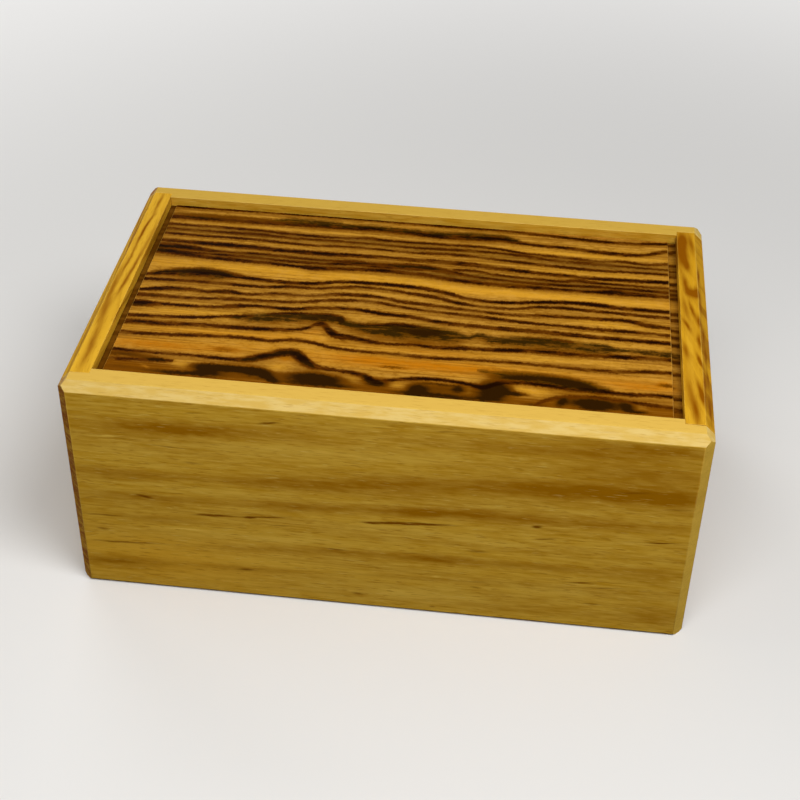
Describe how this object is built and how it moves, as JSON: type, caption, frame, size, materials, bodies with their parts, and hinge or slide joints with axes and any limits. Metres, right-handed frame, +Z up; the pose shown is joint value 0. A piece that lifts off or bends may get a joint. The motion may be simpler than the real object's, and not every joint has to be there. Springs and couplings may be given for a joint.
{
  "type": "puzzle box",
  "caption": "Chamfered wooden puzzle box whose inset striped lid draws out with its end board once a hidden steel ball is rolled clear of the lock tongue.",
  "frame": {"origin": "middle of the base, on the table", "axes": "+X along the box's length, the way the lid draws out; +Y from the front to the back; +Z up"},
  "size_m": [0.138, 0.085, 0.057],
  "materials": {
    "pale_wood": "oiled satin, pale honey-yellow, grain left to right",
    "golden_wood": "oiled satin, golden with brown flame figure, grain front to back",
    "striped_wood": "oiled satin, orange-tan with wavy near-black stripes left to right",
    "inner_wood": "bare sanded, pale",
    "lock_wood": "waxed hardwood, brown",
    "dowel_wood": "bare beech",
    "ball_steel": "polished bearing steel",
    "magnet_nickel": "nickel plate"
  },
  "bodies": {
    "case": {"front_panel": "pale_wood", "back_panel": "pale_wood", "left_panel": "golden_wood", "bottom_panel": "inner_wood", "front_floor_cleat": "inner_wood", "rear_floor_cleat": "inner_wood", "left_floor_cleat": "inner_wood", "inner_floor": "inner_wood", "ball_track": "lock_wood", "case_magnets": "magnet_nickel"},
    "sliding_lid": {"right_panel": "golden_wood", "lid_panel": "striped_wood", "lid_dowels": "dowel_wood", "lock_tongue": "lock_wood", "tongue_dowels": "dowel_wood", "lid_magnets": "magnet_nickel"},
    "ball": {"lock_ball": "ball_steel"}
  },
  "joints": [
    {"name": "lid_slide", "type": "slide", "parent": "case", "child": "sliding_lid", "axis": [1, 0, 0], "range_m": [0, 0.136]},
    {"name": "ball_roll", "type": "slide", "parent": "case", "child": "ball", "axis": [0, 1, 0], "range_m": [0, 0.03]}
  ]
}
